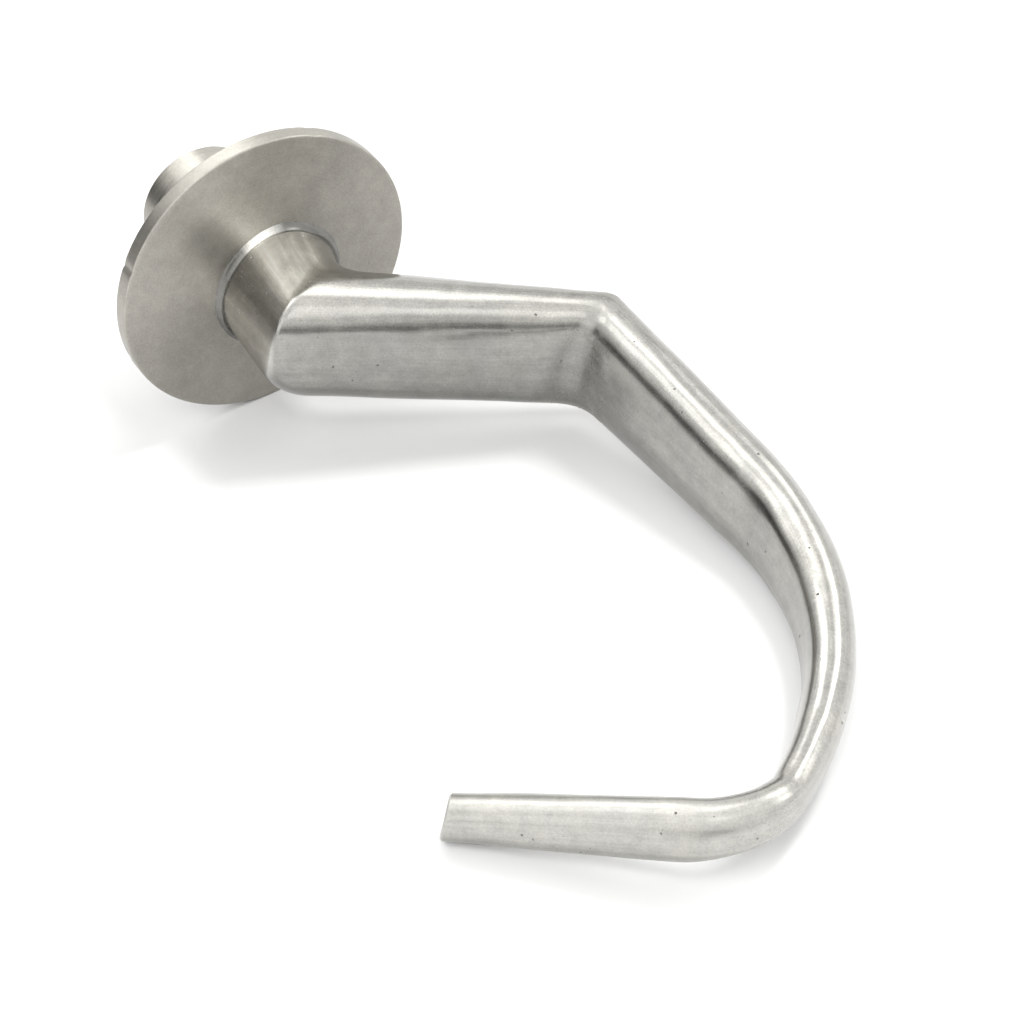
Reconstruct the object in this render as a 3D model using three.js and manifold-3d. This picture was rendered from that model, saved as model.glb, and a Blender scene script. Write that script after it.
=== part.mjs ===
// Dough hook of a planetary mixer, in stainless steel, lying on a flat surface.
//
// Lengths are in millimetres and angles in degrees. The part frame has +Z up from the
// surface, +X along the hub's axis seen from above, from the hub towards the hook's
// heel, and +Y towards the side that the arm reaches out to. Its origin is the middle
// of the bottom of the whole object's box.
//
// The pieces are modelled in the hub's own frame: its X axis is the hub's axis with
// zero at the disc's front face, the hook's centre line starts in its XY plane, and
// Z is square to that plane. Two nested groups then lay the hub's frame down.

import * as THREE from "three";
import { mergeVertices } from "three/addons/utils/BufferGeometryUtils.js";
import Module from "manifold-3d";

// How the hook lies: turned about the hub's axis, then tipped nose down
const LEAN = -7.65;
const PITCH = 8.62;

// Gap that neighbouring pieces keep
const GAP = 0.3;

// Guard disc
const DISC_RADIUS = 50;
const DISC_THICKNESS = 5.4;
const DISC_EDGE = 0.8;

// Drive hub: a turned sleeve with a bayonet slot for the mixer's drive pin
const HUB_RADIUS = 20;
const HUB_LENGTH = 41;
const HUB_CHAMFER = 1.2;
const BORE_RADIUS = 13;
const BORE_CHAMFER = 1;
const SLOT_WIDTH = 9.5;
const SLOT_DEPTH = 21;
const SLOT_SWEEP = 38;
const SLOT_HEADING = -LEAN;

// Spigot turned on the hook's root, which closes the bore
const SPIGOT_RADIUS = BORE_RADIUS - GAP;
const SPIGOT_LENGTH = 9;

// Weld beads
const BEAD_LEG_FRONT = 2.2;
const BEAD_LEG_REAR = 3.2;

// Centre line of the hook: straight runs and arcs, each arc turning towards -Y
const NECK_LENGTH = 25;
const ARM_HEADING = 52.8;
const ARM_LENGTH = 89.8;
const LEG_LENGTH = 74;
const BOW_TURNS = [
  { radius: 107.3, turn: 45.9 },
  { radius: 150, turn: 15.5 },
  { radius: 21.2, turn: 81.8 },
];
const FOOT_LENGTH = 60.8;

// The hook below the leg is turned about the leg, and the foot slopes down from the heel
const BOW_TURN_ABOUT_LEG = -5.5;
const FOOT_SLOPE = 23.2;

// Sections: width in the hook's plane, depth across it, and the exponent of the
// rounded outline, where 2 is an ellipse and more is squarer. The root and the first
// mitre stand off the centre line, along their width and depth, as on a hand-fitted
// casting.
const ROOT = { width: 43, depth: 43, power: 2 };
const ROOT_OFFSET = [4, -5];
const FIRST_MITRE = { width: 35.5, depth: 41, power: 2.4 };
const FIRST_MITRE_OFFSET = [0, -5];
const SECOND_MITRE = { width: 20, depth: 40, power: 2.8 };
const LEG_END = { width: 20.2, depth: 31.5, power: 2.6 };
const BOW_SECTIONS = [
  LEG_END,
  { width: 13.8, depth: 18.8, power: 2.3 },
  { width: 11.4, depth: 13, power: 2.2 },
  { width: 15.5, depth: 18, power: 2.1 },
];
const TIP = { width: 12.8, depth: 12.8, power: 2.3 };
const TIP_EDGE = 0.8;

// The foot's end is cut square to the hook's plane, this far off the foot's own heading
const TIP_CUT = 10.7;

// Facets
const HOOK_SIDES = 26;
const ARM_STEPS = 4;
const BOW_STEPS = [11, 4, 7];
const FOOT_STEPS = 6;
const TURNED_SIDES = 56;

const steel = (color, roughness) =>
  new THREE.MeshStandardMaterial({ color, roughness, metalness: 1 });
const groundSteel = steel(0xb9b7b1, 0.34);
const turnedSteel = steel(0xa9a7a2, 0.4);
const weldSteel = steel(0xc2c0ba, 0.3);

const rad = THREE.MathUtils.degToRad;
const lerp = THREE.MathUtils.lerp;
const UP = new THREE.Vector3(0, 0, 1);

function named(name, geometry, material) {
  const mesh = new THREE.Mesh(geometry, material);
  mesh.name = name;
  return mesh;
}

// ---- the hook: rings of points along its centre line, joined into one skin ----

function mixSections(a, b, t) {
  return {
    width: lerp(a.width, b.width, t),
    depth: lerp(a.depth, b.depth, t),
    power: lerp(a.power, b.power, t),
  };
}

// A rounded outline at a place, with its width along one direction and its depth along another
function ring(centre, across, deep, section, stretch = 1) {
  const points = [];
  for (let i = 0; i < HOOK_SIDES; i++) {
    const angle = (2 * Math.PI * i) / HOOK_SIDES;
    const c = Math.cos(angle);
    const s = Math.sin(angle);
    const u = Math.sign(c) * Math.abs(c) ** (2 / section.power);
    const v = Math.sign(s) * Math.abs(s) ** (2 / section.power);
    points.push(
      centre.clone()
        .addScaledVector(across, (u * stretch * section.width) / 2)
        .addScaledVector(deep, (v * section.depth) / 2),
    );
  }
  return points;
}

const headingAt = (degrees) => new THREE.Vector3(Math.cos(rad(degrees)), Math.sin(rad(degrees)), 0);

// A ring where two straight runs meet, in the plane that halves their bend
function mitreRing(bend, before, after, section, [aside, up] = [0, 0]) {
  const half = (after - before) / 2;
  const across = headingAt((before + after) / 2 + 90);
  const centre = bend.clone().addScaledVector(across, aside).addScaledVector(UP, up);
  return ring(centre, across, UP, section, 1 / Math.cos(rad(half)));
}

function ringsBetween(first, last, steps) {
  const rings = [];
  for (let i = 1; i <= steps; i++) {
    rings.push(first.map((point, j) => point.clone().lerp(last[j], i / steps)));
  }
  return rings;
}

// The bow, heel and foot: their slope grows from nothing to the foot's along the heel
function lowerRings(start) {
  const rings = [];
  const legAxis = new THREE.Vector3(1, 0, 0);
  const place = start.clone();
  const slopeEnd = Math.tan(rad(FOOT_SLOPE));

  function addRing(heading, slope, section, isCut = false) {
    const ahead = headingAt(heading).addScaledVector(UP, -slope).normalize();
    const across = headingAt(heading + 90);
    const deep = new THREE.Vector3().crossVectors(ahead, across);
    const outline = ring(place, across, deep, section);
    const square = headingAt(heading + TIP_CUT);
    rings.push(outline.map((point) => {
      const off = point.clone().sub(place).dot(square) / ahead.dot(square);
      if (isCut) point.addScaledVector(ahead, -off);
      return point.sub(start).applyAxisAngle(legAxis, rad(BOW_TURN_ABOUT_LEG)).add(start);
    }));
  }

  let heading = 0;
  addRing(heading, 0, BOW_SECTIONS[0]);
  BOW_TURNS.forEach(({ radius, turn }, k) => {
    const isHeel = k === BOW_TURNS.length - 1;
    for (let i = 1; i <= BOW_STEPS[k]; i++) {
      const t = i / BOW_STEPS[k];
      const slope = isHeel ? slopeEnd * t * t * (3 - 2 * t) : 0;
      const step = turn / BOW_STEPS[k];
      const chord = 2 * radius * Math.sin(rad(step / 2));
      place.addScaledVector(headingAt(heading - step / 2), chord);
      place.z -= slope * chord;
      heading -= step;
      addRing(heading, slope, mixSections(BOW_SECTIONS[k], BOW_SECTIONS[k + 1], t));
    }
  });

  const heel = BOW_SECTIONS[BOW_SECTIONS.length - 1];
  const foot = headingAt(heading).addScaledVector(UP, -slopeEnd);
  const bevel = TIP_EDGE / FOOT_LENGTH;
  const bevelled = { ...TIP, width: TIP.width - 2 * TIP_EDGE, depth: TIP.depth - 2 * TIP_EDGE };
  for (let i = 1; i <= FOOT_STEPS; i++) {
    const t = (i / FOOT_STEPS) * (1 - bevel);
    place.addScaledVector(foot, (FOOT_LENGTH * (1 - bevel)) / FOOT_STEPS);
    addRing(heading, slopeEnd, mixSections(heel, TIP, t), i === FOOT_STEPS);
  }
  place.addScaledVector(foot, TIP_EDGE);
  addRing(heading, slopeEnd, bevelled, true);
  return rings;
}

function roundRing(x, radius) {
  const section = { width: 2 * radius, depth: 2 * radius, power: 2 };
  return ring(new THREE.Vector3(x, 0, 0), headingAt(90), UP, section);
}

function skin(rings) {
  const positions = rings.flat().flatMap((point) => point.toArray());
  const middle = (points) =>
    points.reduce((sum, point) => sum.add(point), new THREE.Vector3()).divideScalar(points.length);
  positions.push(...middle(rings[0]).toArray(), ...middle(rings[rings.length - 1]).toArray());
  const startCentre = rings.length * HOOK_SIDES;
  const endCentre = startCentre + 1;
  const lastRing = (rings.length - 1) * HOOK_SIDES;
  const faces = [];
  for (let j = 0; j < HOOK_SIDES; j++) {
    const next = (j + 1) % HOOK_SIDES;
    faces.push(startCentre, next, j);
    faces.push(endCentre, lastRing + j, lastRing + next);
    for (let i = 0; i < rings.length - 1; i++) {
      const here = i * HOOK_SIDES;
      const ahead = here + HOOK_SIDES;
      faces.push(here + j, here + next, ahead + next, here + j, ahead + next, ahead + j);
    }
  }
  const geometry = new THREE.BufferGeometry();
  geometry.setAttribute("position", new THREE.Float32BufferAttribute(positions, 3));
  geometry.setIndex(faces);
  geometry.computeVertexNormals();
  return geometry;
}

function hookGeometry() {
  const bend = headingAt(0).multiplyScalar(NECK_LENGTH);
  const knee = bend.clone().addScaledVector(headingAt(ARM_HEADING), ARM_LENGTH);
  const legEnd = knee.clone().addScaledVector(headingAt(0), LEG_LENGTH);

  const root = ring(new THREE.Vector3(GAP, ...ROOT_OFFSET), headingAt(90), UP, ROOT);
  const firstMitre = mitreRing(bend, 0, ARM_HEADING, FIRST_MITRE, FIRST_MITRE_OFFSET);
  const secondMitre = mitreRing(knee, ARM_HEADING, 0, SECOND_MITRE);
  const lower = lowerRings(legEnd);

  return skin([
    roundRing(-DISC_THICKNESS - SPIGOT_LENGTH, SPIGOT_RADIUS - DISC_EDGE),
    roundRing(-DISC_THICKNESS - SPIGOT_LENGTH + DISC_EDGE, SPIGOT_RADIUS),
    roundRing(GAP, SPIGOT_RADIUS),
    root,
    ...ringsBetween(root, firstMitre, 2),
    ...ringsBetween(firstMitre, secondMitre, ARM_STEPS),
    ...ringsBetween(secondMitre, lower[0], ARM_STEPS),
    ...lower.slice(1),
  ]);
}

// ---- turned pieces: outlines of [radius, distance along the hub's axis] ----

function turned(outline) {
  const points = [...outline, outline[0]].map(([radius, x]) => new THREE.Vector2(radius, x));
  const geometry = new THREE.LatheGeometry(points, TURNED_SIDES);
  geometry.rotateZ(-Math.PI / 2);
  return geometry;
}

const hole = SPIGOT_RADIUS + GAP;

function discGeometry() {
  const back = -DISC_THICKNESS;
  return turned([
    [hole, back],
    [DISC_RADIUS - DISC_EDGE, back],
    [DISC_RADIUS, back + DISC_EDGE],
    [DISC_RADIUS, -DISC_EDGE],
    [DISC_RADIUS - DISC_EDGE, 0],
    [hole, 0],
  ]);
}

const hubFront = -DISC_THICKNESS - GAP;
const hubBack = -DISC_THICKNESS - HUB_LENGTH;

function sleeveGeometry() {
  return turned([
    [BORE_RADIUS, hubFront],
    [BORE_RADIUS, hubBack + BORE_CHAMFER],
    [BORE_RADIUS + BORE_CHAMFER, hubBack],
    [HUB_RADIUS - HUB_CHAMFER, hubBack],
    [HUB_RADIUS, hubBack + HUB_CHAMFER],
    [HUB_RADIUS, hubFront],
  ]);
}

// A weld bead in the corner between a round piece and a face of the disc
function beadGeometry(radius, face, side, leg) {
  const inner = radius + GAP;
  const start = face + side * GAP;
  const bulge = 0.62 * leg;
  const outline = [
    [inner, start],
    [inner + leg, start],
    [inner + bulge, start + side * 0.34 * leg],
    [inner + 0.34 * leg, start + side * bulge],
    [inner, start + side * leg],
  ];
  return turned(side > 0 ? outline : outline.reverse());
}

// ---- the bayonet slot, cut through the sleeve's wall ----

const wasm = await Module();
wasm.setup();

function toSolid(geometry) {
  const bare = geometry.clone();
  bare.deleteAttribute("normal");
  bare.deleteAttribute("uv");
  const merged = mergeVertices(bare, 1e-4);
  return new wasm.Manifold(new wasm.Mesh({
    numProp: 3,
    vertProperties: Float32Array.from(merged.attributes.position.array),
    triVerts: Uint32Array.from(merged.index.array),
  }));
}

function toGeometry(solid) {
  const mesh = solid.getMesh();
  const geometry = new THREE.BufferGeometry();
  geometry.setAttribute("position", new THREE.BufferAttribute(mesh.vertProperties, 3));
  geometry.setIndex(new THREE.BufferAttribute(mesh.triVerts, 1));
  geometry.computeVertexNormals();
  return geometry;
}

// A block that stands out radially through the sleeve's wall at an angle about the axis
function slotCutter(angle, from, to) {
  const reach = HUB_RADIUS * 1.5;
  const block = new THREE.BoxGeometry(to - from, reach, SLOT_WIDTH);
  block.translate((from + to) / 2, reach / 2, 0);
  block.rotateX(rad(angle));
  return toSolid(block);
}

// The pin's round seat at the end of the slot's turn
function seatCutter(angle, x) {
  const reach = HUB_RADIUS * 1.5;
  const drill = new THREE.CylinderGeometry(SLOT_WIDTH / 2, SLOT_WIDTH / 2, reach, 20);
  drill.translate(x, reach / 2, 0);
  drill.rotateX(rad(angle));
  return toSolid(drill);
}

function hubGeometry() {
  const mouth = hubBack - 1;
  const turnMiddle = hubBack + SLOT_DEPTH - SLOT_WIDTH / 2;
  let hub = toSolid(sleeveGeometry());
  hub = hub.subtract(slotCutter(SLOT_HEADING, mouth, turnMiddle));
  hub = hub.subtract(seatCutter(SLOT_HEADING, turnMiddle));
  const steps = 4;
  for (let i = 1; i <= steps; i++) {
    hub = hub.subtract(seatCutter(SLOT_HEADING - (SLOT_SWEEP * i) / steps, turnMiddle));
  }
  return toGeometry(hub);
}

// ---- assembly ----

const frontWeld = named("front_weld", beadGeometry(ROOT.width / 2, 0, 1, BEAD_LEG_FRONT), weldSteel);
frontWeld.position.set(0, ...ROOT_OFFSET);

const leaning = new THREE.Group();
leaning.rotation.x = rad(LEAN);
leaning.add(
  named("hook", hookGeometry(), groundSteel),
  named("guard_disc", discGeometry(), turnedSteel),
  named("drive_hub", hubGeometry(), turnedSteel),
  frontWeld,
  named("rear_weld", beadGeometry(HUB_RADIUS, -DISC_THICKNESS, -1, BEAD_LEG_REAR), weldSteel),
);

const tipped = new THREE.Group();
tipped.rotation.y = rad(PITCH);
tipped.add(leaning);

const doughHook = new THREE.Group();
doughHook.add(tipped);

// The origin goes to the middle of the bottom of the object's box
const box = new THREE.Box3().setFromObject(doughHook, true);
const middle = box.getCenter(new THREE.Vector3());
tipped.position.set(-middle.x, -middle.y, -box.min.z);

export default doughHook;
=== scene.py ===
# Looks of a stainless-steel dough hook lying on a pale surface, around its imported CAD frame.
#
# Shapes are made in the hub's own frame, in millimetres and degrees, and turned into
# metres of the part frame when a mesh is made. The hub's frame has X along the hub's axis
# with zero at the disc's front face. The hook's centre line starts in its XY plane.

import math

import bmesh
import bpy
import numpy as np
from mathutils import Matrix, Vector, noise


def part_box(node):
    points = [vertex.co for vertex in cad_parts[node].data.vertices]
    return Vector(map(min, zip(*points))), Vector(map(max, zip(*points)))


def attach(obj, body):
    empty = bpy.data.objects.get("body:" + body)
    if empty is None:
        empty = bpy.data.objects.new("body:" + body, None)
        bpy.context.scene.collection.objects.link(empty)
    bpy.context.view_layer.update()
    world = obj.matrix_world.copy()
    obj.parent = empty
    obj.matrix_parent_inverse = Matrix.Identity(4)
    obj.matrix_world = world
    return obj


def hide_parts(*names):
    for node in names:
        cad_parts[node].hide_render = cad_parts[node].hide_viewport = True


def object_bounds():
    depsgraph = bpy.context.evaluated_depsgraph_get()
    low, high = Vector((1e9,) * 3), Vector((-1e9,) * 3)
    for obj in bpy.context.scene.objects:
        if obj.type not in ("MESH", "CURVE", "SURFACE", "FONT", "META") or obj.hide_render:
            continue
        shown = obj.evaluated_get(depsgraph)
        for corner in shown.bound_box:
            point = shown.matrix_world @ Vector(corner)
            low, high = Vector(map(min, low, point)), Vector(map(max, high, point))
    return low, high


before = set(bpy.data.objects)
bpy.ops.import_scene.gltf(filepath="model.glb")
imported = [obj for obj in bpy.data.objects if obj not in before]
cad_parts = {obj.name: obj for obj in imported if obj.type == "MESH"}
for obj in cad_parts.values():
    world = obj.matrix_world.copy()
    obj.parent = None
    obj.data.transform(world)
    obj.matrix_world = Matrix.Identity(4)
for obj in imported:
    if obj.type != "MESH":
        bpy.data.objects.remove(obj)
cad_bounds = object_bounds()

MM = 0.001

# ---- driving sizes: the same as the frame's, but for the root's section below ----

LEAN = -7.65
PITCH = 8.62

DISC_RADIUS = 50
DISC_THICKNESS = 5.4
HUB_RADIUS = 20
HUB_LENGTH = 41
BORE_RADIUS = 13
SLOT_WIDTH = 9.5
SLOT_DEPTH = 21
SLOT_SWEEP = 38
SPIGOT_RADIUS = 12.7
SPIGOT_LENGTH = 9

NECK_LENGTH = 25
ARM_HEADING = 52.8
ARM_LENGTH = 89.8
LEG_LENGTH = 74
BOW_TURNS = [(107.3, 45.9), (150, 15.5), (21.2, 81.8)]
FOOT_LENGTH = 60.8
BOW_TURN_ABOUT_LEG = -5.5
FOOT_SLOPE = 23.2
TIP_CUT = 10.7
TIP_EDGE = 0.6

# The tip's rounded edge: (step ahead, how far the outline draws in)
TIP_ROUNDING = [(0.125, 0.12), (0.24, 0.35), (0.3, 0.7)]

ROOT_FACE = 0.3
ROOT_OFFSET = (4, -5)
FIRST_MITRE_OFFSET = (0, -5)

# ---- how the hub's frame lies in the part frame ----

HUB_TO_PART = Matrix.Rotation(math.radians(PITCH), 3, "Y") @ Matrix.Rotation(math.radians(LEAN), 3, "X")
disc_low, disc_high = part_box("guard_disc")
HUB_ORIGIN = (disc_low + disc_high) / 2 + HUB_TO_PART @ Vector((DISC_THICKNESS / 2 * MM, 0, 0))


def to_part(points):
    """Points in the hub's frame, in millimetres, as points of the part frame in metres."""
    return np.asarray(points) * MM @ np.array(HUB_TO_PART).T + np.array(HUB_ORIGIN)


def toward(azimuth, elevation):
    """The direction at an azimuth and elevation in degrees: azimuth 0 is toward -Y, 90 toward +X."""
    a, e = math.radians(azimuth), math.radians(elevation)
    return Vector((math.sin(a) * math.cos(e), -math.cos(a) * math.cos(e), math.sin(e)))


# ---- camera ----

AZIMUTH = 62.21
ELEVATION = 39.51
ROLL = -8.38
DISTANCE = 0.68523
LENS = 84.4
AIM_OFFSET = Vector((0.01969, -0.00057, -0.02144))


def add_camera():
    back = toward(AZIMUTH, ELEVATION)
    low, high = cad_bounds
    data = bpy.data.cameras.new("camera")
    data.lens = LENS
    data.sensor_width = 36
    camera = bpy.data.objects.new("camera", data)
    camera.location = (low + high) / 2 + AIM_OFFSET + back * DISTANCE
    level = (-back).to_track_quat("-Z", "Y").to_matrix()
    camera.rotation_euler = (level @ Matrix.Rotation(math.radians(ROLL), 3, "Z")).to_euler()
    bpy.context.scene.collection.objects.link(camera)
    bpy.context.scene.camera = camera


add_camera()

# ---- materials ----


class Nodes:
    """A material's node tree, with short names for what the steels are made of."""

    def __init__(self, name):
        self.material = bpy.data.materials.new(name)
        self.material.use_nodes = True
        self.tree = self.material.node_tree
        self.shader = self.tree.nodes["Principled BSDF"]
        self.shader.inputs["Metallic"].default_value = 1.0
        self.place = self.add("ShaderNodeTexCoord").outputs["Object"]

    def add(self, kind, **settings):
        node = self.tree.nodes.new(kind)
        for key, value in settings.items():
            setattr(node, key, value)
        return node

    def link(self, source, target):
        if isinstance(source, bpy.types.NodeSocket):
            self.tree.links.new(source, target)
        else:
            target.default_value = source

    def noise(self, scale, detail=2.0, roughness=0.5, vector=None, distortion=0.0):
        node = self.add("ShaderNodeTexNoise")
        self.link(vector or self.place, node.inputs["Vector"])
        node.inputs["Scale"].default_value = scale
        node.inputs["Detail"].default_value = detail
        node.inputs["Roughness"].default_value = roughness
        node.inputs["Distortion"].default_value = distortion
        return node.outputs["Fac"]

    def stretched(self, scales, vector):
        node = self.add("ShaderNodeMapping")
        self.link(vector, node.inputs["Vector"])
        node.inputs["Scale"].default_value = scales
        return node.outputs["Vector"]

    def math(self, operation, a, b=0.0, clamp=False):
        node = self.add("ShaderNodeMath", operation=operation, use_clamp=clamp)
        self.link(a, node.inputs[0])
        self.link(b, node.inputs[1])
        return node.outputs["Value"]

    def spread(self, value, low, high, to_low, to_high):
        node = self.add("ShaderNodeMapRange")
        self.link(value, node.inputs["Value"])
        node.inputs["From Min"].default_value = low
        node.inputs["From Max"].default_value = high
        node.inputs["To Min"].default_value = to_low
        node.inputs["To Max"].default_value = to_high
        return node.outputs["Result"]

    def mix(self, factor, a, b):
        node = self.add("ShaderNodeMix", data_type="RGBA")
        self.link(factor, node.inputs["Factor"])
        self.link(a, node.inputs["A"])
        self.link(b, node.inputs["B"])
        return node.outputs["Result"]

    def ramp(self, value, stops):
        node = self.add("ShaderNodeValToRGB")
        self.link(value, node.inputs["Fac"])
        elements = node.color_ramp.elements
        while len(elements) < len(stops):
            elements.new(1.0)
        for element, (position, level) in zip(elements, stops):
            element.position = position
            element.color = (level, level, level, 1)
        return node.outputs["Color"]

    def shade(self, color, factor):
        node = self.add("ShaderNodeMix", data_type="RGBA", blend_type="MULTIPLY")
        node.inputs["Factor"].default_value = 1.0
        self.link(color, node.inputs["A"])
        self.link(factor, node.inputs["B"])
        return node.outputs["Result"]

    def pattern(self, tone, patterns):
        """The tone made paler and darker by patterns, each a (value, whole change) pair."""
        for value, change in patterns:
            tone = self.shade(tone, self.spread(value, 0.25, 0.75, 1 - change / 2, 1 + change / 2))
        return tone

    def color(self, tone, holes, darkness):
        """The skin's colour: the tone, with pits dark at their bottom."""
        share = self.math("MULTIPLY", holes, darkness, clamp=True)
        self.link(self.mix(share, tone, PIT_DARK), self.shader.inputs["Base Color"])

    def around(self, value, stops, most=1.0):
        """A value that changes around a section, from (degrees around, value) stops."""
        level = self.ramp(value, [(degrees / 360, height / most) for degrees, height in stops])
        return self.math("MULTIPLY", level, most)

    def pits(self, scale, size, share):
        """Zero on sound metal and up to one in small round pits, at a share of the cells."""
        cells = self.add("ShaderNodeTexVoronoi", feature="F1", distance="EUCLIDEAN")
        self.link(self.place, cells.inputs["Vector"])
        cells.inputs["Scale"].default_value = scale
        chance = self.add("ShaderNodeSeparateColor")
        self.link(cells.outputs["Color"], chance.inputs["Color"])
        chosen = self.math("LESS_THAN", chance.outputs["Red"], share)
        radius = self.spread(chance.outputs["Green"], 0, 1, 0.3 * size * scale, size * scale)
        depth = self.math("SUBTRACT", 1.0, self.math("DIVIDE", cells.outputs["Distance"], radius))
        return self.math("MULTIPLY", chosen, self.math("MAXIMUM", depth, 0.0))

    def bump(self, height, strength, distance, normal=None):
        node = self.add("ShaderNodeBump")
        node.inputs["Strength"].default_value = strength
        node.inputs["Distance"].default_value = distance
        self.link(height, node.inputs["Height"])
        if normal is not None:
            self.link(normal, node.inputs["Normal"])
        return node.outputs["Normal"]

    def uv(self, name):
        return self.add("ShaderNodeUVMap", uv_map=name).outputs["UV"]


# Reflectances
WARM_STEEL = (0.385, 0.378, 0.352, 1)
COOL_STEEL = (0.352, 0.348, 0.332, 1)
TURNED_DARK = (0.3337, 0.31868, 0.29032, 1)
TURNED_PALE = (0.3995, 0.38152, 0.34757, 1)
WELD_DARK = (0.34, 0.325, 0.29, 1)
WELD_PALE = (0.44, 0.43, 0.40, 1)
PIT_DARK = (0.10, 0.095, 0.085, 1)

# How far along the hook the arm's middle and the knee are, in the grain's unit of 100 mm
ARM_STATION = 0.6
KNEE_STATION = 1.17

# Painted highlights and painted shade on the neck and on its weld, in stripes around the section: (degrees
# around, times as bright)
NECK_PAINTED_LIGHT = [
    (0, 1.35), (45, 1.2), (57, 1.4), (70, 2.3), (79, 1.7), (88, 2.1), (100, 2.5), (110, 3.15),
    (116, 2.9), (122, 1.9), (128, 1.15), (140, 0.9), (150, 0.76), (160, 1.0), (170, 1.6),
    (182, 1.75), (192, 1.75), (202, 1.4), (212, 1.0), (240, 1.0), (360, 1.35),
]
BEAD_PAINTED_LIGHT = [
    (0, 0.5), (86, 0.5), (96, 1.5), (107, 2.8), (117, 2.3), (128, 0.6), (150, 0.42), (180, 0.6),
    (360, 0.5),
]
MOST_PAINTED_LIGHT = 3.2

# Where the hook's inner face lies, which takes painted shade: (degrees around, share)
INNER_FACE = [(0, 0), (116, 0), (127, 1), (215, 1), (240, 0), (360, 0)]


def ground_steel(name, painted_light_around):
    """Hand-ground satin: belt marks along the hook, cast pits, changes of tone, grime mixed with painted
    shade at the knee's crease, painted shade on the inner face, and painted highlights and painted shade in
    stripes round the neck.
    """
    n = Nodes(name)
    grain = n.uv("grain")
    axes = n.add("ShaderNodeSeparateXYZ")
    n.link(grain, axes.inputs["Vector"])
    station = axes.outputs["X"]
    marks = n.noise(1.0, 3, 0.6, n.stretched((7, 330, 1), grain))
    bands = n.noise(1.0, 2, 0.5, n.stretched((1.8, 40, 1), grain))
    grit = n.noise(1500, 3, 0.65)
    mottle = n.noise(210, 4, 0.6)
    cloud = n.noise(45, 3, 0.55)
    holes = n.math("MAXIMUM", n.pits(140, 0.0009, 0.045), n.pits(420, 0.0005, 0.08))

    from_knee = n.math("ABSOLUTE", n.math("SUBTRACT", station, KNEE_STATION))
    from_arm = n.math("ABSOLUTE", n.math("SUBTRACT", station, ARM_STATION))
    at_neck = n.spread(station, 0.19, 0.26, 1.0, 0)
    # a mottled darkening round the knee's crease: partly grime, partly painted shade
    knee_grime_and_shade = n.math("MULTIPLY", n.spread(from_knee, 0.02, 0.12, 0.8, 0.0), n.spread(mottle, 0.4, 0.6, 0, 1))
    tone = n.mix(n.spread(cloud, 0.35, 0.65, 0, 1), COOL_STEEL, WARM_STEEL)
    tone = n.pattern(tone, ((marks, 0.19), (grit, 0.28), (mottle, 0.24), (bands, 0.15)))
    tone = n.shade(tone, n.spread(knee_grime_and_shade, 0, 1, 1, 0.78))
    # the foot is paler than the arm and leg
    tone = n.shade(tone, n.spread(station, 1.9, 3.3, 0.88, 1.06))
    # painted shade on the inner face, deepest at the arm's middle and at the knee
    inner_painted_shade = n.math("ADD", n.spread(from_knee, 0.0, 0.4, 0.14, 0), n.spread(from_arm, 0.2, 0.45, 0.19, 0))
    inner_painted_shade = n.math("MULTIPLY", inner_painted_shade, n.around(axes.outputs["Y"], INNER_FACE))
    tone = n.shade(tone, n.math("SUBTRACT", 1.0, inner_painted_shade))
    # painted highlights and painted shade in stripes round the neck and its weld, fading out past the neck
    neck_painted_light = n.math("SUBTRACT", n.around(axes.outputs["Y"], painted_light_around, MOST_PAINTED_LIGHT), 1.0)
    neck_painted_light = n.math("MULTIPLY", neck_painted_light, n.spread(bands, 0.35, 0.65, 0.93, 1.05))
    neck_painted_light = n.math("MULTIPLY", neck_painted_light, at_neck)
    tone = n.shade(tone, n.math("ADD", 1.0, neck_painted_light))
    n.color(tone, holes, 1.1)

    # the foot is rougher than the rest
    rough = n.spread(cloud, 0.3, 0.7, 0.16, 0.22)
    rough = n.math("ADD", rough, n.spread(station, 3.0, 3.45, 0, 0.15))
    rough = n.math("ADD", rough, n.math("MULTIPLY", at_neck, 0.04))
    for pattern, change in ((marks, 0.06), (grit, 0.04), (bands, 0.05), (mottle, 0.04)):
        rough = n.math("ADD", rough, n.spread(pattern, 0.25, 0.75, -change / 2, change / 2))
    rough = n.math("ADD", rough, n.math("MULTIPLY", n.math("ADD", holes, knee_grime_and_shade), 0.3))
    n.link(rough, n.shader.inputs["Roughness"])

    normal = n.bump(bands, 0.4, 0.00005)
    normal = n.bump(marks, 0.25, 0.00002, normal)
    normal = n.bump(mottle, 0.3, 0.00003, normal)
    normal = n.bump(grit, 0.35, 0.000012, normal)
    n.link(n.bump(n.math("SUBTRACT", 1.0, holes), 0.9, 0.0004, normal), n.shader.inputs["Normal"])
    return n.material


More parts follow.
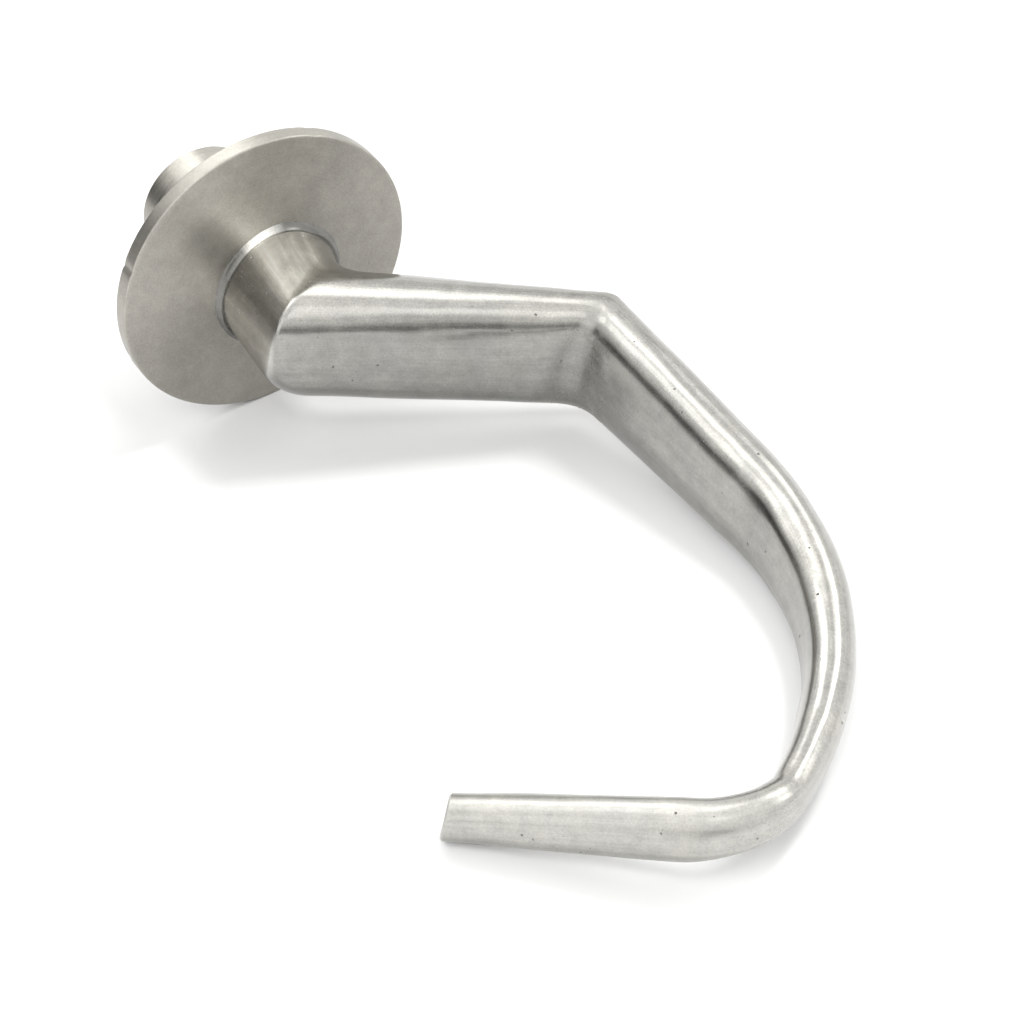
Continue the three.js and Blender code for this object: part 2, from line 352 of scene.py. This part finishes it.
def turned_steel(name, ring_scale, rough_low, rough_high):
    """Lathe-turned face: fine rings, stretched highlights across them, handling marks."""
    n = Nodes(name)
    rings = n.noise(1.0, 3, 0.65, n.stretched((ring_scale, 1.6, 1), n.uv("grain")))
    fine = n.noise(900, 2, 0.5)
    cloud = n.noise(38, 4, 0.6)
    pits = n.pits(60, 0.0011, 0.10)
    tone = n.mix(n.spread(cloud, 0.3, 0.7, 0, 1), TURNED_DARK, TURNED_PALE)
    tone = n.pattern(tone, ((rings, 0.18), (n.noise(1500, 3, 0.65), 0.26), (n.noise(210, 4, 0.6), 0.17)))
    n.color(tone, pits, 1.6)
    rough = n.spread(cloud, 0.3, 0.7, rough_low, rough_high)
    rough = n.math("ADD", rough, n.spread(rings, 0.3, 0.7, -0.04, 0.04))
    n.link(rough, n.shader.inputs["Roughness"])
    normal = n.bump(rings, 0.35, 0.00008)
    normal = n.bump(fine, 0.2, 0.00003, normal)
    n.link(n.bump(n.math("SUBTRACT", 1.0, pits), 0.8, 0.0004, normal), n.shader.inputs["Normal"])
    n.shader.inputs["Anisotropic"].default_value = 0.55
    tangent = n.add("ShaderNodeTangent", direction_type="UV_MAP", uv_map="grain")
    n.link(tangent.outputs["Tangent"], n.shader.inputs["Tangent"])
    return n.material


def weld_steel():
    """A weld bead left as laid: a lumpy skin with small dark specks."""
    n = Nodes("weld_steel")
    cloud = n.noise(320, 3, 0.6)
    specks = n.pits(500, 0.0007, 0.12)
    tone = n.mix(n.spread(cloud, 0.35, 0.65, 0, 1), WELD_DARK, WELD_PALE)
    n.color(tone, specks, 1.8)
    n.link(n.spread(cloud, 0.3, 0.7, 0.26, 0.38), n.shader.inputs["Roughness"])
    n.link(n.bump(cloud, 0.4, 0.0002), n.shader.inputs["Normal"])
    return n.material


# ---- meshes ----


def add_piece(name, node, points, faces, material, grain, sharp=40):
    """A smooth mesh piece that stands for a CAD node. grain holds a (u, v) for each face corner."""
    mesh = bpy.data.meshes.new(name)
    mesh.from_pydata(to_part(points).tolist(), [], faces)
    mesh.uv_layers.new(name="grain").data.foreach_set("uv", np.ravel(grain))
    mesh.materials.append(material)
    piece = bpy.data.objects.new(name, mesh)
    bpy.context.scene.collection.objects.link(piece)
    mark_sharp_edges(mesh, sharp)
    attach(piece, "root")
    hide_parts(node)
    return piece


def mark_sharp_edges(mesh, degrees):
    work = bmesh.new()
    work.from_mesh(mesh)
    for face in work.faces:
        face.smooth = True
    for edge in work.edges:
        edge.smooth = edge.calc_face_angle(math.pi) < math.radians(degrees)
    work.to_mesh(mesh)
    work.free()


def grid_faces(rows, columns, grain_rows, grain_columns):
    """Quads of a grid whose columns close on themselves, and the grain at their corners."""
    faces = []
    grain = []
    for i in range(rows - 1):
        for j in range(columns):
            k = (j + 1) % columns
            faces.append((i * columns + j, i * columns + k, (i + 1) * columns + k, (i + 1) * columns + j))
            u, w = grain_rows[i], grain_rows[i + 1]
            a, b = grain_columns[j], grain_columns[j + 1]
            grain += [(u, a), (u, b), (w, b), (w, a)]
    return faces, grain


# ---- the hook ----

SIDES = 144
RUN_STEPS = [26, 84, 66]
CORNER_STEPS = 14
LEAST_ARC_STEPS = 36
FOOT_STEPS = 60
AROUND = np.arange(SIDES) * 2 * np.pi / SIDES
UP = np.array((0.0, 0.0, 1.0))

# A section: width in the hook's plane, depth across it, the exponent of its rounded
# outline, and how far out the grinder left its flats, as shares of the outline's reach
FLAT_DIRECTIONS = (62, 100, 128, 172, 196)
FLAT_EDGE = 1.0
ROUND = (1.2, 1.2, 1.2, 1.2, 1.2)


def section(width, depth, power, flats=ROUND):
    return np.array((width, depth, power) + tuple(flats), float)


ROOT = section(41.4, 41.4, 2)
FIRST_MITRE = section(35.5, 41, 2.4, (0.98, 0.985, 0.975, 0.985, 1.1))
SECOND_MITRE = section(20, 40, 2.8, (0.985, 0.985, 0.98, 0.98, 0.99))
LEG_END = section(20.2, 31.5, 2.6, (0.98, 0.985, 0.985, 0.98, 0.98))
BOW_MIDDLE = section(13.8, 18.8, 2.3, (0.985, 0.985, 0.985, 0.985, 0.99))
BOW_END = section(11.4, 13, 2.2, (0.99, 0.99, 0.99, 0.99, 1.1))
HEEL = section(15.5, 18, 2.1, (1.1, 1.1, 0.98, 1.1, 1.1))
TIP = section(12.8, 12.8, 2.3, (1.1, 1.1, 0.97, 1.1, 1.1))


def outline(sizes):
    """Points of a section: (across, deep) for each of its sides."""
    width, depth, power = sizes[:3]
    c, s = np.cos(AROUND), np.sin(AROUND)
    u = np.sign(c) * np.abs(c) ** (2 / power) * width / 2
    v = np.sign(s) * np.abs(s) ** (2 / power) * depth / 2
    for direction, keep in zip(FLAT_DIRECTIONS, sizes[3:]):
        x, y = math.cos(math.radians(direction)), math.sin(math.radians(direction))
        reach = u * x + v * y
        over = reach - keep * reach.max()
        cut = (over + np.sqrt(over ** 2 + FLAT_EDGE ** 2)) / 2
        cut = np.where(keep < 1.0, cut, 0.0)
        u = u - x * cut
        v = v - y * cut
    return u, v


def ring(centre, across, deep, sizes, stretch=1.0):
    u, v = outline(sizes)
    return centre + np.outer(u * stretch, across) + np.outer(v, deep)


def heading(degrees):
    return np.array((math.cos(math.radians(degrees)), math.sin(math.radians(degrees)), 0.0))


def mitre_ring(bend, before, after, sizes, offset=(0, 0)):
    across = heading((before + after) / 2 + 90)
    stretch = 1 / math.cos(math.radians((after - before) / 2))
    return ring(bend + across * offset[0] + UP * offset[1], across, UP, sizes, stretch)


def lower_rings(start):
    """The bow, heel and foot, in rings about a millimetre apart, the last ones cut at the tip."""
    rings = []
    turn = np.array(Matrix.Rotation(math.radians(BOW_TURN_ABOUT_LEG), 3, "X"))
    slope_end = math.tan(math.radians(FOOT_SLOPE))
    place = start.copy()
    degrees = 0.0

    def add_ring(slope, sizes, cut=0.0):
        ahead = heading(degrees) - UP * slope
        ahead /= np.linalg.norm(ahead)
        across = heading(degrees + 90)
        points = ring(place, across, np.cross(ahead, across), sizes)
        if cut:
            square = heading(degrees + TIP_CUT)
            off = (points - place) @ square / (ahead @ square)
            points = points - np.outer(off * cut, ahead)
        rings.append((points - start) @ turn.T + start)

    sections = [LEG_END, BOW_MIDDLE, BOW_END, HEEL]
    add_ring(0, LEG_END)
    for k, (radius, arc) in enumerate(BOW_TURNS):
        steps = max(LEAST_ARC_STEPS, round(radius * math.radians(arc)))
        for i in range(1, steps + 1):
            t = i / steps
            slope = slope_end * t * t * (3 - 2 * t) if k == 2 else 0.0
            chord = 2 * radius * math.sin(math.radians(arc / steps / 2))
            place = place + heading(degrees - arc / steps / 2) * chord - UP * slope * chord
            degrees -= arc / steps
            add_ring(slope, sections[k] + (sections[k + 1] - sections[k]) * t)

    foot = heading(degrees) - UP * slope_end
    run = FOOT_LENGTH - TIP_EDGE
    for i in range(1, FOOT_STEPS + 1):
        t = i / FOOT_STEPS * run / FOOT_LENGTH
        place = place + foot * run / FOOT_STEPS
        add_ring(slope_end, HEEL + (TIP - HEEL) * t, cut=max(0.0, (t - 0.7) / 0.3) ** 2)
    for step, inset in TIP_ROUNDING:
        place = place + foot * step
        add_ring(slope_end, TIP - section(2 * inset, 2 * inset, 0, (0, 0, 0, 0, 0)), cut=1.0)
    return rings


def rounded_runs(corners, fillets, steps):
    """Rows of points along straight runs between rings, with the corners rounded."""
    rows = [corners[0]]
    for k in range(1, len(corners)):
        start, end = corners[k - 1], corners[k]
        way = end - start
        length = np.linalg.norm(way, axis=1)[:, None]
        way = way / length
        first = fillets[k - 1][:, None]
        last = fillets[k][:, None]
        for i in range(1, steps[k - 1] + 1):
            t = i / steps[k - 1]
            rows.append(start + way * (first + (length - first - last) * t))
        if k < len(corners) - 1:
            out = corners[k + 1] - end
            out = out / np.linalg.norm(out, axis=1)[:, None]
            before, after = end - way * last, end + out * last
            for i in range(1, CORNER_STEPS):
                t = i / CORNER_STEPS
                rows.append(before * (1 - t) ** 2 + end * 2 * t * (1 - t) + after * t ** 2)
    return rows


def around_mix(stops):
    """A value for each side of a section, from (degrees around, value) stops, smoothly."""
    degrees = np.degrees(AROUND)
    spots = np.array([d for d, _ in stops] + [stops[0][0] + 360])
    values = np.array([v for _, v in stops] + [stops[0][1]])
    at = np.interp((degrees - spots[0]) % 360 + spots[0], spots, values)
    kernel = np.hanning(13)
    wrapped = np.concatenate((at[-6:], at, at[:6]))
    return np.convolve(wrapped, kernel / kernel.sum(), "valid")


# How far each corner is rounded: (degrees around, millimetres)
FIRST_FILLET = around_mix([(0, 11), (50, 10), (95, 3.0), (150, 1.2), (185, 2.0), (215, 8), (270, 9)])
SECOND_FILLET = around_mix([(0, 2.5), (90, 3.5), (150, 4), (180, 6), (240, 9), (300, 4)])

# Swellings and hollows: (station along the hook, degrees around, length, spread, height)
LUMPS = [
    (2.5, 100, 6.0, 30, 0.9),
    (18, 100, 7.0, 30, -0.6),
    (5.0, 62, 3.5, 12, -0.4),
    (70, 150, 22, 16, -0.45),
    (190, 130, 10, 24, 0.35),
    (203, 148, 9, 18, -0.28),
    (216, 140, 8, 20, 0.3),
    (228, 205, 34, 8, 0.3),
    (111, 176, 4, 20, -0.7),
    (117, 190, 3, 14, 0.6),
    (123, 172, 4, 16, 0.4),
    (38, 187, 3.5, 9, -0.3),
    (56, 185, 3.5, 9, -0.3),
]


def hook_rows():
    bend = heading(0) * NECK_LENGTH
    knee = bend + heading(ARM_HEADING) * ARM_LENGTH
    leg_end = knee + heading(0) * LEG_LENGTH
    root = ring(np.array((ROOT_FACE,) + ROOT_OFFSET), heading(90), UP, ROOT)
    first = mitre_ring(bend, 0, ARM_HEADING, FIRST_MITRE, FIRST_MITRE_OFFSET)
    second = mitre_ring(knee, ARM_HEADING, 0, SECOND_MITRE)
    lower = lower_rings(leg_end)
    none = np.zeros(SIDES)
    fillets = [none, FIRST_FILLET, SECOND_FILLET, none]
    rows = rounded_runs([root, first, second, lower[0]], fillets, RUN_STEPS)
    return np.array(rows + lower[1:])


# Rows from half way down the leg to just before the tip are smoothed, over a reach of rows
FIRST_SMOOTH_ROW = 170
LAST_SHARP_ROWS = 12
SMOOTH_REACH = 5


def smooth_rows(rows):
    """The rows averaged with their neighbours, so that the bow's arcs join with no kink."""
    kernel = np.hanning(2 * SMOOTH_REACH + 3)[1:-1]
    kernel /= kernel.sum()
    smoothed = rows.copy()
    for i in range(FIRST_SMOOTH_ROW, len(rows) - LAST_SHARP_ROWS):
        smoothed[i] = np.tensordot(kernel, rows[i - SMOOTH_REACH:i + SMOOTH_REACH + 1], axes=1)
    return smoothed


# The waves left by hand: (place in the noise, length, turns around, height)
WAVES = [(0, 26, 0.9, 0.28), (40, 9, 1.8, 0.07)]
ROOT_FADE = 12
TIP_FADE = 8


def outward(rows):
    """The skin's outward direction at each point of a grid of rings."""
    along = np.gradient(rows, axis=0)
    around = np.roll(rows, -1, axis=1) - np.roll(rows, 1, axis=1)
    normal = np.cross(around, along)
    return normal / np.linalg.norm(normal, axis=2)[:, :, None]


def hand_finish(rows):
    """Moves the skin by the small waves and lumps that grinding by hand leaves."""
    middle = rows.mean(axis=1)
    step = np.linalg.norm(np.diff(middle, axis=0), axis=1)
    station = np.concatenate(([0], np.cumsum(step)))
    height = np.zeros(rows.shape[:2])
    for i, s in enumerate(station):
        fade = min(1.0, s / ROOT_FADE) * min(1.0, (station[-1] - s) / TIP_FADE)
        for j, angle in enumerate(AROUND):
            x, y = math.cos(angle), math.sin(angle)
            for start, length, turns, lift in WAVES:
                wave = noise.noise(Vector((s / length + start, x * turns, y * turns)))
                height[i, j] += fade * lift * wave
    for where, angle, length, spread, lift in LUMPS:
        away = (np.degrees(AROUND) - angle + 180) % 360 - 180
        height += lift * np.outer(np.exp(-((station - where) / length) ** 2), np.exp(-(away / spread) ** 2))
    return rows + outward(rows) * height[:, :, None], station


def add_hook(material):
    """The hook with its spigot. Returns the rings of its skin, for the bead that grows from it."""
    rows, station = hand_finish(smooth_rows(hook_rows()))
    back = -DISC_THICKNESS - SPIGOT_LENGTH
    spigot = [
        (back, 1.5),
        (back, SPIGOT_RADIUS - 0.8),
        (back + 0.3, SPIGOT_RADIUS - 0.25),
        (back + 0.8, SPIGOT_RADIUS),
        (ROOT_FACE, SPIGOT_RADIUS),
    ]
    circle = np.outer(np.cos(AROUND), heading(90)) + np.outer(np.sin(AROUND), UP)
    spigot_rings = np.array([np.array((x, 0, 0)) + circle * radius for x, radius in spigot])
    rings = np.concatenate((spigot_rings, rows))
    spigot_stations = np.array((-26, -16, -15, -14, -1))
    grain_rows = np.concatenate((spigot_stations, station)) / 100
    faces, grain = grid_faces(len(rings), SIDES, grain_rows, np.arange(SIDES + 1) / SIDES)
    for end, way in ((0, -1), (len(rings) - 1, 1)):
        cap = list(range(end * SIDES, (end + 1) * SIDES))[::way]
        faces.append(cap)
        grain += [(grain_rows[end], k / SIDES) for k in range(SIDES)]
    add_piece("hook_body", "hook", rings.reshape(-1, 3), faces, material, grain, 50)
    return rows


FRONT_BEAD_LEG = 2.4
BEAD_RING_SPACING = 0.5


def add_front_bead(rows, material):
    """The weld at the hook's root, ground to a hollow that runs from the disc into the skin."""
    wobble = np.array([noise.noise(Vector((math.cos(a) * 1.6, math.sin(a) * 1.6, 3.0))) for a in AROUND])
    leg = FRONT_BEAD_LEG * (1 + 0.16 * wobble)
    curve = [(math.sin(a) ** 3, math.cos(a) ** 3) for a in np.linspace(0, math.pi / 2, 13)]
    neck = rows[:RUN_STEPS[0]]
    rings = []
    for along, reach in [(-0.05, -0.2)] + curve + [(1.15, -0.01), (1.3, -0.06), (0.6, -0.25)]:
        x = leg * along - 0.1
        skin = np.array([
            [np.interp(x[j], neck[:, j, 0], neck[:, j, axis]) for axis in (1, 2)] for j in range(SIDES)
        ])
        out = skin - np.array(ROOT_OFFSET)
        out /= np.linalg.norm(out, axis=1)[:, None]
        rings.append(np.column_stack((x, skin + out * (leg * reach)[:, None])))
    points = np.array(rings)
    profile = np.array([(k * BEAD_RING_SPACING, 0) for k in range(len(points))], float)
    points, faces, grain = turned_mesh(points, profile)
    add_piece("front_bead", "front_weld", points, faces, material, grain, 60)


# ---- turned pieces ----

TURNED_SIDES = 256


def fine_profile(corners, edge, step=1.0):
    """A closed profile of (radius, x) corners, with rounded corners and short straights."""
    points = []
    count = len(corners)
    for i in range(count):
        before = np.array(corners[i - 1], float)
        here = np.array(corners[i], float)
        after = np.array(corners[(i + 1) % count], float)
        into = (here - before) / np.linalg.norm(here - before)
        out = (after - here) / np.linalg.norm(after - here)
        for t in np.linspace(0, 1, 5):
            p, q = here - into * edge, here + out * edge
            points.append(p * (1 - t) ** 2 + here * 2 * t * (1 - t) + q * t ** 2)
        reach = np.linalg.norm(after - here) - 2 * edge
        pieces = max(1, int(reach / step))
        for k in range(1, pieces):
            points.append(here + out * (edge + reach * k / pieces))
    return np.array(points)


def turned_points(profile, sides=TURNED_SIDES):
    """A grid of points about the hub's axis: one ring of sides points per profile point."""
    turn = np.arange(sides) * 2 * np.pi / sides
    radius, x = profile[:, 0], profile[:, 1]
    return np.stack((
        np.repeat(x[:, None], sides, 1),
        np.outer(radius, np.cos(turn)),
        np.outer(radius, np.sin(turn)),
    ), axis=2)


def turned_mesh(points, profile):
    """Points, faces and grain of a closed turned body. The grain's u runs across the turning marks."""
    count, sides = points.shape[:2]
    travel = np.concatenate(([0], np.cumsum(np.linalg.norm(np.diff(profile, axis=0), axis=1))))
    travel = np.append(travel, travel[-1] + np.linalg.norm(profile[0] - profile[-1])) / 100
    closed = np.concatenate((points, points[:1]))
    faces, grain = grid_faces(count + 1, sides, travel, np.arange(sides + 1) / sides)
    faces = [tuple(corner % (count * sides) for corner in face) for face in faces]
    return closed[:-1].reshape(-1, 3), faces, grain


# Dents in the disc's rim: (degrees around, size, depth)
RIM_DENTS = [(160, 1.0, 0.45), (202, 1.4, 0.2), (71, 1.2, 0.25), (318, 1.5, 0.25)]


def add_disc(material):
    back = -DISC_THICKNESS
    hole = SPIGOT_RADIUS + 0.05
    profile = fine_profile([(hole, 0), (DISC_RADIUS, 0), (DISC_RADIUS, back), (hole, back)], 0.55, 0.8)
    points = turned_points(profile)
    radius = np.hypot(points[:, :, 1], points[:, :, 2])
    turn = np.arctan2(points[:, :, 2], points[:, :, 1])
    rim = np.exp(-((DISC_RADIUS - radius) / 2.5) ** 2)
    waves = 0.010 * np.sin(radius / 1.9) + 0.008 * np.sin(radius / 0.77 + 1)
    warp = 0.10 * np.sin(2 * turn + 0.6) * (radius / DISC_RADIUS) ** 2
    points[:, :, 0] += waves * np.exp(-rim) + warp
    for degrees, size, depth in RIM_DENTS:
        away = np.angle(np.exp(1j * (turn - math.radians(degrees)))) * DISC_RADIUS
        dent = depth * np.exp(-(away / size) ** 2) * np.exp(-((DISC_RADIUS - radius) / 0.7) ** 2)
        points[:, :, 1] -= dent * np.cos(turn)
        points[:, :, 2] -= dent * np.sin(turn)
    points, faces, grain = turned_mesh(points, profile)
    add_piece("guard_disc_turned", "guard_disc", points, faces, material, grain)


def slot_cutter(points, faces, name):
    mesh = bpy.data.meshes.new(name)
    mesh.from_pydata(to_part(points).tolist(), [], faces)
    cutter = bpy.data.objects.new(name, mesh)
    bpy.context.scene.collection.objects.link(cutter)
    return cutter


def slot_outline():
    """The bayonet slot unrolled on the hub: (distance along the axis, degrees around)."""
    back = -DISC_THICKNESS - HUB_LENGTH
    half = SLOT_WIDTH / 2
    middle = back + SLOT_DEPTH - half
    tilt = math.degrees(half / ((HUB_RADIUS + BORE_RADIUS) / 2))
    points = [(back - 2, tilt), (middle, tilt)]
    quarter = np.linspace(0, math.pi / 2, 7)[1:]
    points += [(middle + half * math.sin(a), tilt * math.cos(a)) for a in quarter]
    end = -SLOT_SWEEP
    points += [(middle + half, -SLOT_SWEEP * k / 6) for k in range(1, 6)]
    points += [
        (middle + half * math.cos(a), end - tilt * math.sin(a)) for a in np.linspace(0, math.pi, 15)
    ]
    points += [(middle - half, end + (SLOT_SWEEP - tilt - 3) * k / 5) for k in range(1, 6)]
    points += [(middle - half - 0.9, -tilt - 1), (middle - half - 2.4, -tilt), (back - 2, -tilt)]
    return points


def add_hub(material):
    front = -DISC_THICKNESS - 0.1
    back = -DISC_THICKNESS - HUB_LENGTH
    profile = fine_profile([
        (BORE_RADIUS, back + 1), (BORE_RADIUS, front), (HUB_RADIUS, front),
        (HUB_RADIUS, back + 1.2), (HUB_RADIUS - 1.2, back), (BORE_RADIUS + 1, back),
    ], 0.25, 1.5)
    points, faces, grain = turned_mesh(turned_points(profile), profile)
    hub = add_piece("drive_hub_turned", "drive_hub", points, faces, material, grain, 30)

    outer = slot_outline()
    count = len(outer)
    corners = []
    for radius in (BORE_RADIUS - 3, HUB_RADIUS + 3):
        for x, degrees in outer:
            angle = math.radians(degrees - LEAN)
            corners.append((x, radius * math.cos(angle), radius * math.sin(angle)))
    walls = [(k, (k + 1) % count, count + (k + 1) % count, count + k) for k in range(count)]
    walls += [tuple(range(count))[::-1], tuple(range(count, 2 * count))]
    cutter = slot_cutter(corners, walls, "slot_cutter")
    tidy = bmesh.new()
    tidy.from_mesh(cutter.data)
    bmesh.ops.triangulate(tidy, faces=tidy.faces[:])
    bmesh.ops.recalc_face_normals(tidy, faces=tidy.faces[:])
    tidy.to_mesh(cutter.data)
    tidy.free()
    cut = hub.modifiers.new("slot", "BOOLEAN")
    cut.operation = "DIFFERENCE"
    cut.solver = "EXACT"
    cut.object = cutter
    bevel = hub.modifiers.new("slot_edges", "BEVEL")
    bevel.width = 0.35 * MM
    bevel.segments = 2
    bevel.limit_method = "ANGLE"
    bevel.angle_limit = math.radians(50)
    graph = bpy.context.evaluated_depsgraph_get()
    result = bpy.data.meshes.new_from_object(hub.evaluated_get(graph))
    hub.modifiers.clear()
    hub.data = result
    mark_sharp_edges(result, 30)
    bpy.data.objects.remove(cutter)


REAR_BEAD_LEG = 3.0
REAR_BEAD_RIPPLE = 0.22
REAR_BEAD_PITCH = 2.9
REAR_BEAD_POWER = 1.15


def add_rear_bead(material):
    """A bead laid by hand round the hub: a fillet whose size and face ripple round the joint."""
    turn = np.arange(TURNED_SIDES) * 2 * np.pi / TURNED_SIDES
    wobble = np.array([noise.noise(Vector((math.cos(a) * 2.2, math.sin(a) * 2.2, 9.0))) for a in turn])
    ripples = round(2 * math.pi * HUB_RADIUS / REAR_BEAD_PITCH)
    waves = np.abs(np.sin(turn * ripples / 2)) ** 0.7
    size = REAR_BEAD_LEG * (1 + 0.22 * wobble) + REAR_BEAD_RIPPLE * (waves - 0.5)
    face = -DISC_THICKNESS
    level = np.ones(TURNED_SIDES)
    fillet = [(level * (HUB_RADIUS - 0.4), level * (face + 0.3))]
    for a in np.linspace(0, math.pi / 2, 9):
        radius = HUB_RADIUS - 0.1 + size * math.cos(a) ** REAR_BEAD_POWER
        fillet.append((radius, face + 0.1 - size * math.sin(a) ** REAR_BEAD_POWER))
    fillet.append((level * (HUB_RADIUS - 0.6), face + 0.3 - size))
    points = np.array([
        np.column_stack((x, radius * np.cos(turn), radius * np.sin(turn))) for radius, x in fillet[::-1]
    ])
    profile = np.array([(k * BEAD_RING_SPACING, 0) for k in range(len(points))], float)
    points, faces, grain = turned_mesh(points, profile)
    add_piece("rear_bead", "rear_weld", points, faces, material, grain, 60)


# ---- build ----

hook_skin = add_hook(ground_steel("ground_steel", NECK_PAINTED_LIGHT))
add_front_bead(hook_skin, ground_steel("ground_weld", BEAD_PAINTED_LIGHT))
add_disc(turned_steel("turned_disc", 900, 0.30, 0.40))
add_hub(turned_steel("turned_hub", 700, 0.25, 0.33))
add_rear_bead(weld_steel())

# ---- floor, world and lights ----

FLOOR_AZIMUTH = 57
FLOOR_FRONT = 0.56
FLOOR_REACH = 3.0


def add_floor():
    """A plain floor that ends a little in front of the hook and runs far behind it."""
    mesh = bpy.data.meshes.new("floor")
    ahead = toward(FLOOR_AZIMUTH, 0)
    side = toward(FLOOR_AZIMUTH + 90, 0) * FLOOR_REACH
    near, far = ahead * FLOOR_FRONT, -ahead * FLOOR_REACH
    mesh.from_pydata([near - side, near + side, far + side, far - side], [], [(0, 1, 2, 3)])
    floor = bpy.data.objects.new("floor", mesh)
    bpy.context.scene.collection.objects.link(floor)
    material = bpy.data.materials.new("floor")
    material.use_nodes = True
    shader = material.node_tree.nodes["Principled BSDF"]
    shader.inputs["Base Color"].default_value = (0.37, 0.37, 0.37, 1)
    shader.inputs["Roughness"].default_value = 0.9
    mesh.materials.append(material)


def add_light(name, location, size, power, target):
    data = bpy.data.lights.new(name, "AREA")
    data.shape = "RECTANGLE"
    data.size, data.size_y = size
    data.energy = power
    light = bpy.data.objects.new(name, data)
    light.location = location
    direction = Vector(target) - Vector(location)
    light.rotation_euler = direction.to_track_quat("-Z", "Y").to_euler()
    light.visible_glossy = False
    bpy.context.scene.collection.objects.link(light)


WALL_LIGHT = 1.35
CEILING_LIGHT = 1.75
DARKEST_LIGHT = 0.12
BACKDROP_LIGHT = 0.97

# The room's brighter and darker parts: (azimuth, elevation, half angle, softness, tallness,
# added brightness), with the angles in degrees
ROOM = [
    (-40, 4, 24, 14, 1.0, -0.95),
    (-40, 30, 20, 12, 1.0, -0.75),
    (-76, 12, 20, 12, 0.8, -0.55),
    (57, 3, 13, 12, 0.8, -0.85),
    (-141, 34, 13, 8, 0.7, -0.45),
    (0, 38, 26, 16, 1.0, 0.4),
    (64, 60, 8, 5, 1.0, 1.3),
    (-100, 41, 11, 4, 0.8, 2.6),
    (-60, 60, 10, 5, 1.0, 1.7),
    (-128, 62, 9, 4, 1.0, 2.2),
    (-92, 67, 10, 8, 1.0, 0.7),
    (-163, 39, 9, 4, 0.9, 3.0),
    (165, 31, 9, 4, 0.8, 2.4),
]


def add_world():
    """A bright room with windows and dark corners. The camera itself sees a pale backdrop."""
    world = bpy.data.worlds.new("studio")
    bpy.context.scene.world = world
    world.use_nodes = True
    tree = world.node_tree

    def add(kind, values=(), **settings):
        node = tree.nodes.new(kind)
        for key, value in settings.items():
            setattr(node, key, value)
        for socket, value in values:
            if isinstance(value, bpy.types.NodeSocket):
                tree.links.new(value, node.inputs[socket])
            else:
                node.inputs[socket].default_value = value
        return node

    place = add("ShaderNodeTexCoord").outputs["Generated"]
    axes = add("ShaderNodeSeparateXYZ", [("Vector", place)])
    height = axes.outputs["Z"]
    rise = [("Value", height), ("From Max", 0.9), ("To Min", WALL_LIGHT), ("To Max", CEILING_LIGHT)]
    light = add("ShaderNodeMapRange", rise).outputs["Result"]
    for azimuth, elevation, reach, soft, tall, extra in ROOM:
        middle = toward(azimuth, elevation)
        away = add("ShaderNodeVectorMath", [(0, place), (1, middle)], operation="SUBTRACT")
        scaled = [(0, away.outputs["Vector"]), (1, (1, 1, tall))]
        away = add("ShaderNodeVectorMath", scaled, operation="MULTIPLY").outputs["Vector"]
        away = add("ShaderNodeVectorMath", [(0, away)], operation="LENGTH").outputs["Value"]
        edges = [("From Min", math.radians(reach - soft)), ("From Max", math.radians(reach + soft))]
        fade = edges + [("Value", away), ("To Min", extra), ("To Max", 0.0)]
        patch = add("ShaderNodeMapRange", fade, interpolation_type="SMOOTHSTEP").outputs["Result"]
        light = add("ShaderNodeMath", [(0, light), (1, patch)], operation="ADD").outputs["Value"]
    darkest = [(0, light), (1, DARKEST_LIGHT)]
    light = add("ShaderNodeMath", darkest, operation="MAXIMUM").outputs["Value"]
    seen = add("ShaderNodeLightPath").outputs["Is Camera Ray"]
    choice = [("Factor", seen), ("A", light), ("B", BACKDROP_LIGHT)]
    strength = add("ShaderNodeMix", choice, data_type="FLOAT").outputs["Result"]
    background = tree.nodes["Background"]
    background.inputs["Color"].default_value = (1, 1, 0.985, 1)
    tree.links.new(strength, background.inputs["Strength"])


# Lights that only the floor takes, since the steel reflects the room:
# (name, azimuth, elevation, power)
REAR_LIGHTS = [("key", 167, 60, 18), ("rear_left", -163, 38, 4.2), ("rear_right", 165, 31, 5)]
REAR_LIGHT_DISTANCE = 1.3

add_floor()
add_world()
for name, azimuth, elevation, power in REAR_LIGHTS:
    add_light(name, toward(azimuth, elevation) * REAR_LIGHT_DISTANCE, (0.3, 0.3), power, (0, 0, 0))
add_light("front_fill", (0.28, -0.4, 0.5), (0.5, 0.4), 7.2, (0.1, -0.12, 0))
add_light("bow_side", (0.4, 0.42, 0.33), (0.4, 0.4), 1.2, (0.13, 0.02, 0))
bpy.context.scene.view_settings.view_transform = "Standard"
